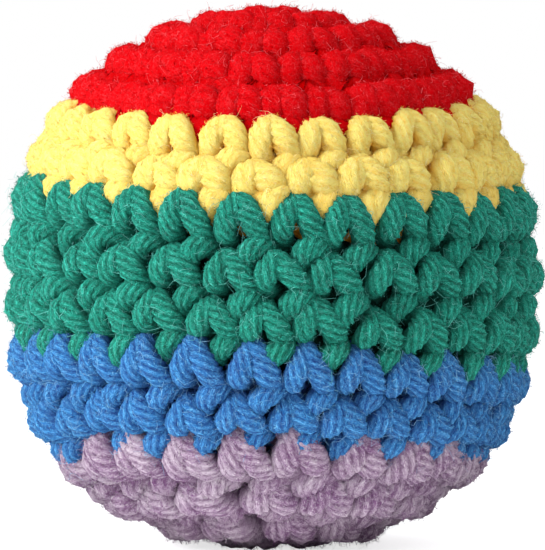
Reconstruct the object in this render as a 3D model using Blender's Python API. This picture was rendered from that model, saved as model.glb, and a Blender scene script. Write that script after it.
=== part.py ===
"""A crocheted footbag: five yarns worked in rounds around a filling of pellets.

Metres, +Z up. The bag stands on the floor at the origin, and its front is towards -Y.
"""

from dataclasses import dataclass
from math import cos, pi, radians, sin

import bmesh
import bpy
import numpy as np

# The bag, measured over the stitches.
DIAMETER = 0.0550
CROWN_HEIGHT = 0.0283  # from the widest round up to the top of the crown
BASE_DEPTH = 0.0272  # from the widest round down to the floor
BASE_PRESS = 0.0006  # what the bag's weight presses flat at the floor

# The crocheted wall.
WALL = 0.0045
ROUND_GROOVE = 0.0013  # the crease between two rounds
STITCH_GROOVE = 0.0009  # the dip between two stitches of a round
ARCH_RISE = 0.0016  # how far a stitch's arch reaches up over the round above it
SEAM_GAP = 0.0004  # between one yarn and the next, along the wall

# The filling.
PELLET = 0.0040
FILL_GAP = 0.0003  # between the pellets and the wall

# How much fuller than an ellipse the bag is at its shoulders.
CROWN_FULLNESS_SHARE = 0.10
BASE_FULLNESS_SHARE = 0.20

# The rounds lie closer together at the front, by this share of their latitude.
FRONT_DRAW_SHARE = 0.19
DRAW_LATITUDE = radians(43)  # past this the draw fades out towards the pole
# The rounds at these latitudes dip this far towards +X.
DIP_LATITUDES = [radians(degrees) for degrees in (-90, -43, -19, 21, 42, 90)]
DIPS = [radians(degrees) for degrees in (0, 0.5, 3.3, 1.7, -0.5, 0)]
STITCH_LEAN_SHARE = 0.27  # of a stitch, to the left for each round further down
DENT_SHARE = 0.3  # of a pellet, between neighbouring pellets
FADE_LATITUDES = (radians(-71), radians(-60))  # the stitches flatten out between these

COLUMNS_PER_STITCH = 4
ROWS_PER_ROUND = 3
INNER_COLUMNS_PER_STITCH = 2
FILL_SUBDIVISIONS = 3


@dataclass(frozen=True)
class Yarn:
    """One length of yarn: where its first round starts, and the stitches of each round."""

    name: str
    colour: tuple
    start: float
    rounds: tuple


YARNS = (
    Yarn("red_crown", (0.74, 0.012, 0.026), radians(90), (6, 12, 18, 24, 30)),
    Yarn("yellow_band", (0.91, 0.68, 0.10), radians(42), (30, 30)),
    Yarn("green_band", (0.012, 0.26, 0.16), radians(21), (30, 30, 30)),
    Yarn("blue_band", (0.035, 0.20, 0.58), radians(-19), (30, 30)),
    Yarn("purple_base", (0.36, 0.19, 0.33), radians(-43), (24, 18, 12, 6)),
)
FIBRE_ROUGHNESS = 0.9
PELLET_COLOUR = (0.035, 0.025, 0.02)
PELLET_ROUGHNESS = 0.5


def round_tables():
    """The stitches, latitude and twist of each round's upper edge, from pole to pole."""
    stitches, latitudes, twists = [], [], [0]
    ends = [yarn.start for yarn in YARNS[1:]] + [radians(-90)]
    for yarn, end in zip(YARNS, ends):
        step = (end - yarn.start) / len(yarn.rounds)
        stitches += yarn.rounds
        latitudes += [yarn.start + step * i for i in range(len(yarn.rounds))]
    for count in stitches:
        twists.append(twists[-1] + STITCH_LEAN_SHARE * 2 * pi / count)
    return stitches, latitudes + [radians(-90)], twists


STITCHES, LATITUDES, TWISTS = round_tables()


def reach(latitude):
    """The distance from the bag's centre to its outside."""
    if latitude >= 0:
        rise, fullness = CROWN_HEIGHT, CROWN_FULLNESS_SHARE
    else:
        rise, fullness = BASE_DEPTH + BASE_PRESS, BASE_FULLNESS_SHARE
    bulge = 2 * (1 + fullness)
    across = abs(cos(latitude) / (DIAMETER / 2)) ** bulge
    along = abs(sin(latitude) / rise) ** bulge
    return (across + along) ** (-1 / bulge)


def place(latitude, azimuth, depth, floor):
    """The point this deep below the bag's outside, pressed flat where it would pass the floor."""
    distance = reach(latitude) - depth
    across = distance * cos(latitude)
    height = BASE_DEPTH + distance * sin(latitude)
    return (across * cos(azimuth), across * sin(azimuth), max(height, floor))


def twist(index, share_down):
    """How far the stitches have leant round the bag here, as an angle."""
    return TWISTS[index] + (TWISTS[index + 1] - TWISTS[index]) * share_down


def arch(index, share_down, azimuth):
    """How far along its arch a stitch is here: 0 between two stitches, 1 at the top of one."""
    return abs(sin(STITCHES[index] * (azimuth + twist(index, share_down)) / 2))


def drawn(latitude, azimuth):
    """The latitude of a round at this azimuth: drawn together in front, and dipping to +X."""
    frontness = ((1 - sin(azimuth)) / 2) ** 2
    fade = min(1, (pi / 2 - abs(latitude)) / (pi / 2 - DRAW_LATITUDE))
    dip = np.interp(latitude, DIP_LATITUDES, DIPS) * cos(azimuth)
    return latitude * (1 - FRONT_DRAW_SHARE * frontness * fade) - dip


def edge(index, azimuth):
    """The latitude where a round begins: a row of arches that reach over the round above."""
    latitude = LATITUDES[index]
    if index in (0, len(STITCHES)):
        return latitude
    rise = arch(index, 0, azimuth) - 2 / pi
    return drawn(latitude, azimuth) + rise * ARCH_RISE / reach(latitude)


def groove(index, share_down, azimuth, latitude):
    """How far the surface dips here below the tops of the stitches."""
    ridge = sin(pi * share_down) ** 0.7
    stitch = arch(index, share_down, azimuth)
    depth = ROUND_GROOVE * (1 - ridge) + STITCH_GROOVE * (1 - stitch) * ridge
    low, high = FADE_LATITUDES
    return depth * min(1, max(0, (latitude - low) / (high - low)))


def add_ring(bm, columns, lean, at):
    """A closed ring of points, turned by the stitches' lean, each where at(azimuth) says."""
    ring = bmesh.ops.create_circle(bm, segments=columns, radius=DIAMETER / 2)["verts"]
    for i, vertex in enumerate(ring):
        vertex.co = at(2 * pi * i / columns - lean)
    return ring


def loft(bm, one, other):
    """Joins two rings that may have unlike counts: whichever lags behind steps on next."""
    i = j = 0
    while i < len(one) or j < len(other):
        near, far = one[i % len(one)], other[j % len(other)]
        if (i + 1) * len(other) <= (j + 1) * len(one):
            i += 1
            bm.faces.new((near, one[i % len(one)], far))
        else:
            j += 1
            bm.faces.new((near, other[j % len(other)], far))


def outer_ring(bm, index, share_down, gap):
    """One row of the wall's outside, moved along the wall by gap, where above 0 is up."""
    counted = index if share_down < 1 else index + 1
    columns = COLUMNS_PER_STITCH * STITCHES[min(counted, len(STITCHES) - 1)]

    def at(azimuth):
        upper, lower = edge(index, azimuth), edge(index + 1, azimuth)
        latitude = upper + (lower - upper) * share_down
        depth = groove(index, share_down, azimuth, latitude)
        return place(latitude + gap / reach(latitude), azimuth, depth, 0)

    return add_ring(bm, columns, twist(index, share_down), at)


def inner_ring(bm, index, columns, gap):
    """One row of the wall's inside, level with the upper edge of a round."""

    def at(azimuth):
        latitude = drawn(LATITUDES[index], azimuth)
        return place(latitude + gap / reach(latitude), azimuth, WALL, WALL)

    return add_ring(bm, columns, TWISTS[index], at)


def close_pole(bm, ring, height):
    """Fills a ring with a fan whose middle is on the bag's axis."""
    face = bm.faces.new(ring)
    middle = bmesh.ops.poke(bm, faces=[face])["verts"][0]
    middle.co = (0, 0, height)


def outside(bm, first, last):
    """The rings down the outside of the rounds from first up to last."""
    rings = []
    for index in range(first, last):
        for row in range(ROWS_PER_ROUND):
            if index == 0 and row == 0:
                continue
            gap = -SEAM_GAP / 2 if index == first and row == 0 else 0
            rings.append(outer_ring(bm, index, row / ROWS_PER_ROUND, gap))
    if last < len(STITCHES):
        rings.append(outer_ring(bm, last - 1, 1, SEAM_GAP / 2))
    return rings


def inside(bm, first, last):
    """The rings down the inside of the same rounds."""
    rings = []
    for index in range(max(first, 1), last):
        columns = INNER_COLUMNS_PER_STITCH * STITCHES[index]
        if index == first:
            columns = COLUMNS_PER_STITCH * STITCHES[index]
        rings.append(inner_ring(bm, index, columns, -SEAM_GAP / 2 if index == first else 0))
    if last < len(STITCHES):
        columns = COLUMNS_PER_STITCH * STITCHES[last]
        rings.append(inner_ring(bm, last, columns, SEAM_GAP / 2))
    return rings


def crocheted_wall(yarn, first):
    """The closed wall that one yarn makes: a cap at either pole, or a band between them."""
    bm = bmesh.new()
    last = first + len(yarn.rounds)
    skins = outside(bm, first, last), inside(bm, first, last)
    for rings in skins:
        for upper, lower in zip(rings, rings[1:]):
            loft(bm, upper, lower)
    outer, inner = skins
    if first > 0:
        loft(bm, outer[0], inner[0])
    else:
        top = BASE_DEPTH + CROWN_HEIGHT
        close_pole(bm, outer[0], top - ROUND_GROOVE)
        close_pole(bm, inner[0], top - WALL)
    if last < len(STITCHES):
        loft(bm, outer[-1], inner[-1])
    else:
        close_pole(bm, outer[-1], 0)
        close_pole(bm, inner[-1], WALL)
    return finished(bm, yarn.name, yarn.colour, FIBRE_ROUGHNESS)


def pellet_fill():
    """The filling as one body with the lumps that its outer pellets make."""
    bm = bmesh.new()
    bmesh.ops.create_icosphere(bm, subdivisions=FILL_SUBDIVISIONS, radius=DIAMETER / 2)
    tops = bmesh.ops.poke(bm, faces=bm.faces[:])["verts"]
    dent = {vertex: DENT_SHARE * PELLET for vertex in bm.verts}
    dent.update(dict.fromkeys(tops, 0))
    for vertex in bm.verts:
        direction = vertex.co.normalized()
        latitude = direction.angle(direction.__class__((0, 0, -1))) - pi / 2
        level = direction.xy.normalized() if direction.xy.length > 0 else direction.xy
        distance = reach(latitude) - WALL - FILL_GAP - dent[vertex]
        across = distance * cos(latitude)
        height = max(BASE_DEPTH + distance * sin(latitude), WALL + FILL_GAP)
        vertex.co = (across * level.x, across * level.y, height)
    return finished(bm, "pellet_fill", PELLET_COLOUR, PELLET_ROUGHNESS)


def finished(bm, name, colour, roughness):
    """Turns a closed surface into a smooth shaded object with its own material."""
    bmesh.ops.recalc_face_normals(bm, faces=bm.faces[:])
    for face in bm.faces:
        face.smooth = True
    mesh = bpy.data.meshes.new(name)
    bm.to_mesh(mesh)
    bm.free()
    material = bpy.data.materials.new(name)
    material.use_nodes = True
    shader = material.node_tree.nodes["Principled BSDF"]
    shader.inputs["Base Color"].default_value = (*colour, 1)
    shader.inputs["Roughness"].default_value = roughness
    shader.inputs["Metallic"].default_value = 0
    mesh.materials.append(material)
    return bpy.data.objects.new(name, mesh)


def main():
    """Clears the scene and builds the footbag in a collection of its own."""
    for obj in list(bpy.data.objects):
        bpy.data.objects.remove(obj)
    collection = bpy.data.collections.new("footbag")
    bpy.context.scene.collection.children.link(collection)
    stand = bpy.data.objects.new("footbag", None)
    collection.objects.link(stand)
    pieces = []
    first = 0
    for yarn in YARNS:
        pieces.append(crocheted_wall(yarn, first))
        first += len(yarn.rounds)
    pieces.append(pellet_fill())
    for piece in pieces:
        collection.objects.link(piece)
        piece.parent = stand
    print(f"{len(STITCHES)} rounds, {sum(STITCHES)} stitches")


main()
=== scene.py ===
"""The looks of a crocheted footbag: plied yarn, worked stitch by stitch over dark pellets.

The yarn of every round follows the route that single crochet gives it. A Geometry Nodes
tree plies the yarn along that route, a second one raises its fuzz, and a third lays the
pellets that show through the holes.
"""

import logging
from dataclasses import dataclass, field, replace
from enum import Enum
from math import cos, pi, radians, sin, tau

import bmesh
import bpy
import numpy as np
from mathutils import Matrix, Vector


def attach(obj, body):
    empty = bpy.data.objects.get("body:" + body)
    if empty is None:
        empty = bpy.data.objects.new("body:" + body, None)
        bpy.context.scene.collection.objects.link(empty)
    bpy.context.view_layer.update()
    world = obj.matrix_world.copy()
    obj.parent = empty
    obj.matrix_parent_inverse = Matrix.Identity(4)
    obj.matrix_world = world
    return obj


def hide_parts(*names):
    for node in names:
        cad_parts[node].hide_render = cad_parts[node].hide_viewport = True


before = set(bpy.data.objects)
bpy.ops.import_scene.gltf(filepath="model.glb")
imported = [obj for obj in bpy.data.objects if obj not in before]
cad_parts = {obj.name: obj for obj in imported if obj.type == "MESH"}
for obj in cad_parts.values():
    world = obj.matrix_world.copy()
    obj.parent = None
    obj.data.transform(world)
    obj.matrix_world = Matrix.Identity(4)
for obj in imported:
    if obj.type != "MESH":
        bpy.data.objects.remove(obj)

LOG = logging.getLogger("footbag")
BODY = "root"

Colour = tuple[float, float, float]
Place = tuple[float, float, float]
Socket = bpy.types.NodeSocket
Outputs = bpy.types.bpy_prop_collection
Value = float | int | str | bool | Vector | tuple | bpy.types.Material | Socket
Inputs = dict[str | int, Value]


class Ply(Enum):
    """The way the plies of a yarn run round it."""

    S = -1
    Z = 1


class Tone(Enum):
    """Where each colour lies on a loose fibre's scale of tones, which has the painted crease shade
    at 0.

    A fibre from HAIR up to 1 is a curled hair, and one below that lies along the yarn.
    The tones towards LIGHT and FUZZ are painted highlights.
    """

    SHADE = 0.28
    COLOUR = 0.52
    LIGHT = 0.76
    FUZZ = 0.93
    HAIR = 0.94


class Graph:
    """Adds nodes to a node tree and joins them."""

    def __init__(self, tree: bpy.types.NodeTree) -> None:
        """Starts on an empty tree."""
        self.tree = tree
        tree.nodes.clear()

    def add(self, kind: str, inputs: Inputs, **settings: Value) -> bpy.types.Node:
        """Adds one node.

        Args:
            kind: The node's type name.
            inputs: What goes into its sockets, each named by its identifier or its place.
            settings: The node's own settings.

        Returns:
            The new node.
        """
        node = self.tree.nodes.new(kind)
        for name, value in settings.items():
            setattr(node, name, value)
        for key, value in inputs.items():
            if isinstance(key, int):
                socket = node.inputs[key]
            else:
                socket = next(s for s in node.inputs if s.identifier == key)
            if isinstance(value, Socket):
                self.tree.links.new(value, socket)
            else:
                socket.default_value = value
        return node

    def out(self, kind: str, inputs: Inputs, **settings: Value) -> Socket:
        """Adds one node and gives its first output."""
        return self.add(kind, inputs, **settings).outputs[0]

    def math(self, operation: str, *values: Value) -> Socket:
        """One step of arithmetic on numbers, as its result's socket."""
        return self.out("ShaderNodeMath", dict(enumerate(values)), operation=operation)

    def plus(self, one: Value, other: Value) -> Socket:
        """The sum of two numbers."""
        return self.math("ADD", one, other)

    def minus(self, one: Value, other: Value) -> Socket:
        """What is left of one number without the other."""
        return self.math("SUBTRACT", one, other)

    def times(self, first: Value, *others: Value) -> Socket:
        """The product of two or more numbers.

        Args:
            first: The first of them.
            others: The rest.

        Returns:
            The result's socket.
        """
        product = first
        for value in others:
            product = self.math("MULTIPLY", product, value)
        return product

    def clamped(self, value: Value) -> Socket:
        """A number held between 0 and 1."""
        return self.math("MINIMUM", self.math("MAXIMUM", value, 0.0), 1.0)

    def ranged(self, value: Value, start: float, end: float, low: float, high: float) -> Socket:
        """Spreads a number over another range, and holds it there.

        Args:
            value: The number.
            start: Where its own range starts.
            end: Where that ends.
            low: What the start becomes.
            high: What the end becomes.

        Returns:
            The result's socket.
        """
        ends = {"From Min": start, "From Max": end, "To Min": low, "To Max": high}
        return self.out("ShaderNodeMapRange", {"Value": value, **ends})

    def vector(self, operation: str, *values: Value, scale: Value | None = None) -> Socket:
        """One step of arithmetic on vectors.

        Args:
            operation: Its name.
            values: The vectors.
            scale: What SCALE multiplies the vector by.

        Returns:
            The result's socket, a number for a dot product and otherwise a vector.
        """
        inputs: Inputs = dict(enumerate(values))
        if scale is not None:
            inputs["Scale"] = scale
        node = self.add("ShaderNodeVectorMath", inputs, operation=operation)
        return node.outputs[1 if operation == "DOT_PRODUCT" else 0]

    def away(self, place: Value, centre: Value) -> Socket:
        """The direction in which a place lies from a centre, one long."""
        return self.vector("NORMALIZE", self.vector("SUBTRACT", place, centre))

    def mixed(self, share: Value, one: Value, other: Value) -> Socket:
        """Mixes two colours.

        Args:
            share: How much of the other one there is.
            one: A colour, or a socket with one.
            other: The same.

        Returns:
            The mixture's socket.
        """
        colours = [(*c, 1) if isinstance(c, tuple) else c for c in (one, other)]
        inputs: Inputs = {"Factor_Float": share, "A_Color": colours[0], "B_Color": colours[1]}
        node = self.add("ShaderNodeMix", inputs, data_type="RGBA")
        return next(s for s in node.outputs if s.identifier == "Result_Color")

    def surface(self, **inputs: Value) -> None:
        """Ends a material's tree with its shader.

        Args:
            inputs: What goes into the shader's sockets, named with _ for each space.
        """
        named: Inputs = {key.replace("_", " "): value for key, value in inputs.items()}
        shader = self.out("ShaderNodeBsdfPrincipled", named)
        self.add("ShaderNodeOutputMaterial", {"Surface": shader})

    def own(self, name: str, output: str = "Fac") -> Socket:
        """An attribute of the yarn that a material lies on."""
        return self.add("ShaderNodeAttribute", {}, attribute_name=name).outputs[output]

    def attribute(self, name: str, kind: str = "FLOAT") -> Socket:
        """A named attribute of the geometry that flows through the tree."""
        return self.out("GeometryNodeInputNamedAttribute", {"Name": name}, data_type=kind)

    def store(self, geometry: Value, name: str, value: Value, kind: str = "FLOAT") -> Socket:
        """Keeps a value on every point.

        Args:
            geometry: What has the points.
            name: What to keep it under.
            value: The value.
            kind: Its type.

        Returns:
            The geometry with the value.
        """
        inputs: Inputs = {"Geometry": geometry, "Name": name, "Value": value}
        return self.out("GeometryNodeStoreNamedAttribute", inputs, data_type=kind, domain="POINT")

    def moved(self, geometry: Value, **where: Value) -> Socket:
        """Moves every point to a Position, or by an Offset."""
        return self.out("GeometryNodeSetPosition", {"Geometry": geometry, **where})

    def random(self, low: float, high: Value, seed: Value) -> Socket:
        """A number drawn for each point.

        Args:
            low: The least that it may be.
            high: The most.
            seed: What the draw starts from.

        Returns:
            The number's socket.
        """
        inputs: Inputs = {"Min_001": low, "Max_001": high, "Seed": seed}
        return self.add("FunctionNodeRandomValue", inputs, data_type="FLOAT").outputs[1]


class Pattern:
    """A Geometry Nodes tree with named inputs that makes a plain mesh from a host mesh."""

    sockets = {
        float: "NodeSocketFloat",
        int: "NodeSocketInt",
        bpy.types.Material: "NodeSocketMaterial",
    }

    def __init__(self, name: str, **inputs: type) -> None:
        """Starts the tree.

        Args:
            name: The tree's name.
            inputs: Each input's name and its type.
        """
        self.tree = bpy.data.node_groups.new(name, "GeometryNodeTree")
        self.graph = Graph(self.tree)
        face = self.tree.interface
        face.new_socket("Geometry", in_out="INPUT", socket_type="NodeSocketGeometry")
        self.names = {
            key: face.new_socket(key, in_out="INPUT", socket_type=self.sockets[kind]).identifier
            for key, kind in inputs.items()
        }
        face.new_socket("Geometry", in_out="OUTPUT", socket_type="NodeSocketGeometry")
        self.given = self.graph.add("NodeGroupInput", {}).outputs

    def end(self, geometry: Socket) -> None:
        """Finishes the tree: smooth shading, real geometry and the material.

        Args:
            geometry: What the tree has made.
        """
        smooth = self.graph.out("GeometryNodeSetShadeSmooth", {"Geometry": geometry})
        real = self.graph.out("GeometryNodeRealizeInstances", {"Geometry": smooth})
        inputs: Inputs = {"Geometry": real, "Material": self.given["material"]}
        dressed = self.graph.out("GeometryNodeSetMaterial", inputs)
        self.graph.add("NodeGroupOutput", {0: dressed})

    def apply(self, host: bpy.types.Mesh, name: str, **values: Value) -> bpy.types.Object:
        """Runs the tree on a mesh.

        Args:
            host: The mesh that the pattern follows.
            name: The name of the piece that it makes.
            values: The tree's inputs.

        Returns:
            The piece, with a plain mesh and no modifier.
        """
        carrier = placed(name + "_host", host)
        modifier = carrier.modifiers.new(self.tree.name, "NODES")
        modifier.node_group = self.tree
        for key, value in values.items():
            modifier[self.names[key]] = value
        graph = bpy.context.evaluated_depsgraph_get()
        mesh = bpy.data.meshes.new_from_object(carrier.evaluated_get(graph))
        mesh.name = name
        bpy.data.objects.remove(carrier)
        return placed(name, mesh)


def placed(name: str, data: bpy.types.ID) -> bpy.types.Object:
    """Puts a mesh, a lamp or a camera into the scene.

    Args:
        name: What to call it.
        data: What it is.

    Returns:
        Its object, at the origin.
    """
    thing = bpy.data.objects.new(name, data)
    bpy.context.scene.collection.objects.link(thing)
    return thing


def new_material(name: str) -> tuple[bpy.types.Material, Graph]:
    """Starts a material.

    Args:
        name: What to call it.

    Returns:
        The material and what adds its nodes.
    """
    made = bpy.data.materials.new(name)
    made.use_nodes = True
    return made, Graph(made.node_tree)


@dataclass(frozen=True)
class YarnFinish:
    """One colour of yarn.

    Attributes:
        slot: The node that the yarn replaces, whose name begins its materials' names.
        colour: The yarn's own colour.
        light: Where fibres catch the light.
        shade: Where the dye took more.
        deep: Painted shade in the creases.
        fuzz: A painted highlight, the lightest of the loose fibres that lie along it.
        hair: The curled hairs that stand off it.
        dark: Painted shade deep in the holes.
        curls: How clearly curled hairs show on the yarn.
        mottle: How far the dye varies.
        patches: How many patches of dye there are to a metre.
        flanks: How far the yarn takes its painted crease shade where it turns away.
        ply_depth: How deep the plies' grooves are, as a share of the yarn's radius.
        fibres: How many loose fibres lie along a square metre of yarn.
        fibre_length: How long the longest of them are.
        tangle: How far they stray from the plies, where 0 is not at all.
        fluff: How far they stand off the yarn.
        plump: How thick the yarn is against the others.
        strays: How many curled hairs stand off a square metre of yarn.
        stray_length: How long the longest of them are.
        fibre_contrast: How strongly the fibres' painted highlights and the grooves' painted shade
            show.
        fullness: How far the yarn fills out behind the stitches.
        shine: How much light the fibres reflect as gloss.
        sheen: How much light the fibres' edges catch.
        relief: How strongly single fibres stand out of the yarn's surface.
        softness: How far light wraps round the yarn, as it does through loose wool.
        ridge: How far each round stands out as a rope, in yarn thicknesses.
        slim: How much thinner its first round is, where small holes show in the arches.
        fuzz_roughness: How dull the loose fibres are.
        sheen_roughness: How wide the sheen spreads.
        fibre_relief: The height of a fibre's relief.
    """

    slot: str
    colour: Colour
    light: Colour
    shade: Colour
    deep: Colour
    fuzz: Colour
    hair: Colour
    dark: Colour
    curls: float = 0.15
    mottle: float = 0.4
    patches: float = 420.0
    flanks: float = 0.55
    ply_depth: float = 0.10
    fibres: float = 7.6e6
    fibre_length: float = 0.00065
    tangle: float = 0.85
    fluff: float = 0.00016
    plump: float = 1.0
    strays: float = 0.22e6
    stray_length: float = 0.0010
    fibre_contrast: float = 0.9
    fullness: float = 0.05
    shine: float = 0.2
    sheen: float = 0.25
    relief: float = 0.45
    softness: float = 0.3
    ridge: float = 0.10
    slim: float = 0.0
    fuzz_roughness: float = 0.8
    sheen_roughness: float = 0.4
    fibre_relief: float = 0.00022

    def material(self, fibre: bpy.types.NodeTree) -> bpy.types.Material:
        """Makes the yarn's material.

        Args:
            fibre: The shared group of fibre effects.

        Returns:
            The material, which follows the yarn's own attributes.
        """
        made, graph = new_material(self.slot + "_yarn")
        strands = self._strands(graph, fibre)
        base = graph.mixed(graph.times(strands["Mottle"], self.mottle), self.colour, self.shade)
        # Painted highlights where fibres catch the light.
        lit = graph.mixed(strands["Streak"], base, self.light)
        lit = graph.mixed(graph.times(strands["Curl"], self.curls), lit, self.hair)
        bump = graph.out(
            "ShaderNodeBump",
            {
                "Height": strands["Height"],
                "Strength": self.relief,
                "Distance": self.fibre_relief,
                "Normal": strands["Normal"],
            },
        )
        graph.surface(
            Base_Color=self._with_painted_shade(graph, strands, lit),
            Roughness=strands["Roughness"],
            Normal=bump,
            Specular_IOR_Level=self.shine,
            Sheen_Weight=self.sheen,
            Sheen_Roughness=self.sheen_roughness,
            Sheen_Tint=(*self.light, 1),
        )
        return made

    def fuzz_material(self, fibre: bpy.types.NodeTree) -> bpy.types.Material:
        """Makes the material of the loose hairs, each in a tone of its own from painted shade to
        painted highlight.

        Args:
            fibre: The shared group of fibre effects.

        Returns:
            The material, which follows the yarn that the hairs grow on.
        """
        made, graph = new_material(self.slot + "_fuzz")
        # Each fibre's random tone picks a colour from the painted crease shade, through the yarn's
        # colours, up to painted highlights.
        tones = graph.add("ShaderNodeValToRGB", {0: graph.own("tone")})
        ramp = tones.color_ramp.elements
        ramp[0].color, ramp[1].color = (*self.deep, 1), (*self.hair, 1)
        for tone in Tone:
            ramp.new(tone.value).color = (*getattr(self, tone.name.lower()), 1)
        strands = self._strands(graph, fibre)
        cloudy = graph.times(strands["Mottle"], self.mottle)
        base = graph.mixed(cloudy, tones.outputs["Color"], self.shade)
        graph.surface(
            Base_Color=self._with_painted_shade(graph, strands, base),
            Roughness=self.fuzz_roughness,
            Normal=strands["Normal"],
            Specular_IOR_Level=self.shine,
        )
        return made

    def _strands(self, graph: Graph, fibre: bpy.types.NodeTree) -> Outputs:
        """Places the shared group of fibre effects with this yarn's own values.

        Args:
            graph: Where it goes.
            fibre: The group.

        Returns:
            What the group puts out.
        """
        strands = graph.add("ShaderNodeGroup", {}, node_tree=fibre)
        strands.inputs["Contrast"].default_value = self.fibre_contrast
        strands.inputs["Flanks"].default_value = self.flanks
        strands.inputs["Patches"].default_value = self.patches
        strands.inputs["Softness"].default_value = self.softness
        return strands.outputs

    def _with_painted_shade(self, graph: Graph, strands: Outputs, colour: Socket) -> Socket:
        """Paints shade into the yarn's creases, and darker painted shade deep in the holes.

        Args:
            graph: Where its nodes go.
            strands: What the shared group puts out.
            colour: The yarn's colour in the light.

        Returns:
            The colour with its painted shade.
        """
        creased = graph.mixed(strands["CreaseShade"], colour, self.deep)
        return graph.mixed(strands["Depth"], creased, self.dark)


@dataclass(frozen=True)
class PelletFinish:
    """The dull dark plastic of the filling.

    Attributes:
        colour: The darker tone.
        light: The lighter tone.
        patches: How often the two change, to a metre.
        roughness: How dull it is.
        dents: How strongly its unevenness shows.
        dent_depth: How deep that is.
    """

    colour: Colour = (0.030, 0.022, 0.018)
    light: Colour = (0.060, 0.046, 0.038)
    patches: float = 260.0
    roughness: float = 0.5
    dents: float = 0.2
    dent_depth: float = 0.0001

    def material(self) -> bpy.types.Material:
        """Makes the pellets' material.

        Returns:
            The material, mottled from one pellet to the next.
        """
        made, graph = new_material("pellet_plastic")
        where = graph.add("ShaderNodeTexCoord", {}).outputs["Object"]
        inputs: Inputs = {"Vector": where, "Scale": self.patches, "Detail": 3.0}
        noise = graph.out("ShaderNodeTexNoise", inputs)
        ramp = graph.add("ShaderNodeValToRGB", {0: noise})
        for end, colour in zip(ramp.color_ramp.elements, (self.colour, self.light)):
            end.color = (*colour, 1)
        inputs = {"Height": noise, "Strength": self.dents, "Distance": self.dent_depth}
        bump = graph.out("ShaderNodeBump", inputs)
        graph.surface(Base_Color=ramp.outputs[0], Roughness=self.roughness, Normal=bump)
        return made


@dataclass(frozen=True)
class Grain:
    """Fibres that lie along the plies, as noise drawn out along them.

    Attributes:
        scale: Fibres to a metre, across them.
        stretch: How quickly they change along the plies, against across them.
        wander: How far they wander.
        start: The noise's value where a fibre starts to show.
        full: Its value where a fibre shows fully.
        detail: How many finer noises are laid over it.
        roughness: How much those count.
    """

    scale: float
    stretch: float
    wander: float
    start: float
    full: float
    detail: float = 2.0
    roughness: float = 0.6

    def shown(self, graph: Graph, place: Socket) -> Socket:
        """Draws the fibres.

        Args:
            graph: Where the nodes go.
            place: The place in the untwisted yarn.

        Returns:
            1 on a fibre and 0 beside it.
        """
        inputs: Inputs = {
            "Vector": graph.vector("MULTIPLY", place, (1.0, 1.0, self.stretch)),
            "Scale": self.scale,
            "Detail": self.detail,
            "Roughness": self.roughness,
            "Distortion": self.wander,
        }
        noise = graph.out("ShaderNodeTexNoise", inputs)
        return graph.ranged(noise, self.start, self.full, 0.0, 1.0)


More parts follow.
